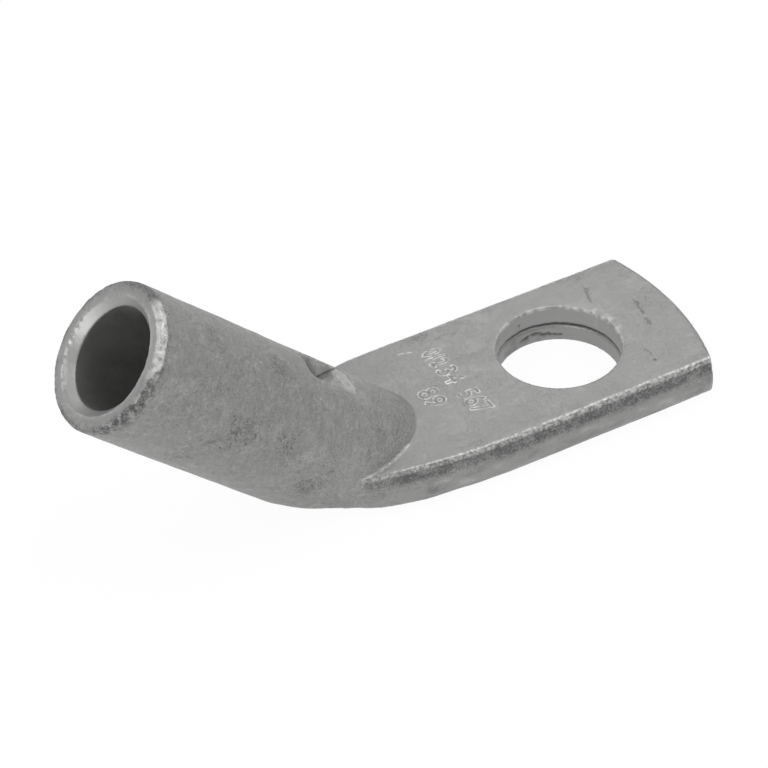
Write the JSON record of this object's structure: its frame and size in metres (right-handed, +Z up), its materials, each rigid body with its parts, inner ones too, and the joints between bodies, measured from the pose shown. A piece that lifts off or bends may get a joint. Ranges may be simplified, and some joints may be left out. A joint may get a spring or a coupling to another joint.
{
  "type": "cable lug",
  "caption": "Tubular copper cable lug, tinned, with a round crimp barrel and a flat pressed palm bent to 45 degrees with a stud hole.",
  "frame": {"origin": "centre of the stud hole on the underside of the palm", "axes": "+X along the palm towards its rounded tip, +Z up along the stud hole's axis, away from the underside; the barrel rises at 45 degrees towards -X and +Z"},
  "size_m": [0.0541, 0.0172, 0.024],
  "materials": {
    "tinned_copper": "dull electroplated tin over copper, lightly pitted and scratched"
  },
  "bodies": {
    "root": {"cable_lug": "tinned_copper"}
  },
  "joints": []
}
